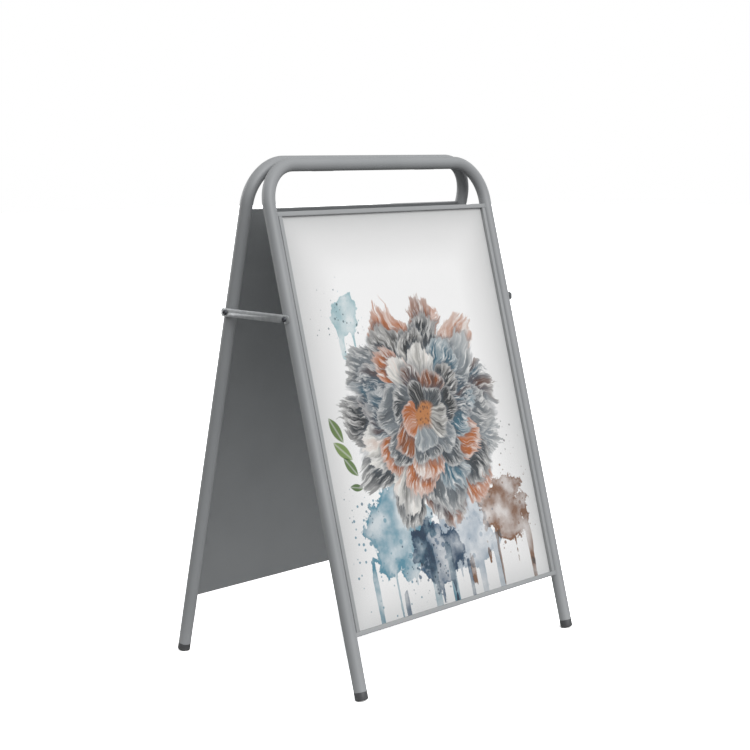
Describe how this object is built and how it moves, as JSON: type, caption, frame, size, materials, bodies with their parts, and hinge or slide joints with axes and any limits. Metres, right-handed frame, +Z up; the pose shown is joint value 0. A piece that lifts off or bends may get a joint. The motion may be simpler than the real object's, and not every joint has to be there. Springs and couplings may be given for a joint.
{
  "type": "sandwich board",
  "caption": "Folding A-frame sandwich board: two bent tube frames hinged at the top bars, each with a framed sheet panel and poster, held open by hook-on side stays.",
  "frame": {"origin": "centre of the footprint on the floor, when open", "axes": "+X to the right of the front display, -Y out of the front display, +Z up"},
  "size_m": [0.6734, 0.5244, 0.9996],
  "materials": {
    "frame_paint": "satin grey powder coat",
    "poster_paper": "matt coated poster paper",
    "clear_cover": "clear PVC cover sheet",
    "foot_plastic": "moulded dark grey polypropylene",
    "hinge_steel": "satin grey powder coat",
    "zinc_steel": "bright zinc plate",
    "stay_steel": "dull zinc plate",
    "screw_black": "dark zinc-nickel plate"
  },
  "bodies": {
    "front_frame": {"front_tube_frame": "frame_paint", "front_back_panel": "frame_paint", "front_top_rail": "frame_paint", "front_bottom_rail": "frame_paint", "front_left_rail": "frame_paint", "front_right_rail": "frame_paint", "front_poster": "poster_paper", "front_cover_sheet": "clear_cover", "front_left_foot": "foot_plastic", "front_right_foot": "foot_plastic", "front_left_hinge_leaf": "hinge_steel", "front_right_hinge_leaf": "hinge_steel", "front_hinge_rivets": "zinc_steel", "front_rivet_nuts": "zinc_steel", "front_stay_washers": "zinc_steel", "left_hinge_pin": "zinc_steel", "right_hinge_pin": "zinc_steel", "left_hook_screw": "screw_black", "right_hook_screw": "screw_black"},
    "rear_frame": {"rear_tube_frame": "frame_paint", "rear_back_panel": "frame_paint", "rear_top_rail": "frame_paint", "rear_bottom_rail": "frame_paint", "rear_left_rail": "frame_paint", "rear_right_rail": "frame_paint", "rear_poster": "poster_paper", "rear_cover_sheet": "clear_cover", "rear_left_foot": "foot_plastic", "rear_right_foot": "foot_plastic", "rear_left_hinge_leaf": "hinge_steel", "rear_right_hinge_leaf": "hinge_steel", "rear_hinge_rivets": "zinc_steel", "rear_rivet_nuts": "zinc_steel", "rear_stay_washers": "zinc_steel", "left_pivot_screw": "screw_black", "right_pivot_screw": "screw_black"},
    "stay_left": {"left_stay": "stay_steel"},
    "stay_right": {"right_stay": "stay_steel"}
  },
  "joints": [
    {"name": "fold", "type": "hinge", "parent": "front_frame", "child": "rear_frame", "pos_m": [0, 0.00126, 0.97488], "axis": [-1, 0, 0], "range_deg": [0, 27]},
    {"name": "left_stay_swing", "type": "hinge", "parent": "rear_frame", "child": "stay_left", "pos_m": [-0.33285, 0.08074, 0.70312], "axis": [-1, 0, 0], "range_deg": [0, 78]},
    {"name": "right_stay_swing", "type": "hinge", "parent": "rear_frame", "child": "stay_right", "pos_m": [0.33285, 0.08074, 0.70312], "axis": [-1, 0, 0], "range_deg": [0, 78]}
  ],
  "couplings": [
    {"joint": "left_stay_swing", "follows": "fold", "ratio": 2.888},
    {"joint": "right_stay_swing", "follows": "fold", "ratio": 2.888}
  ]
}
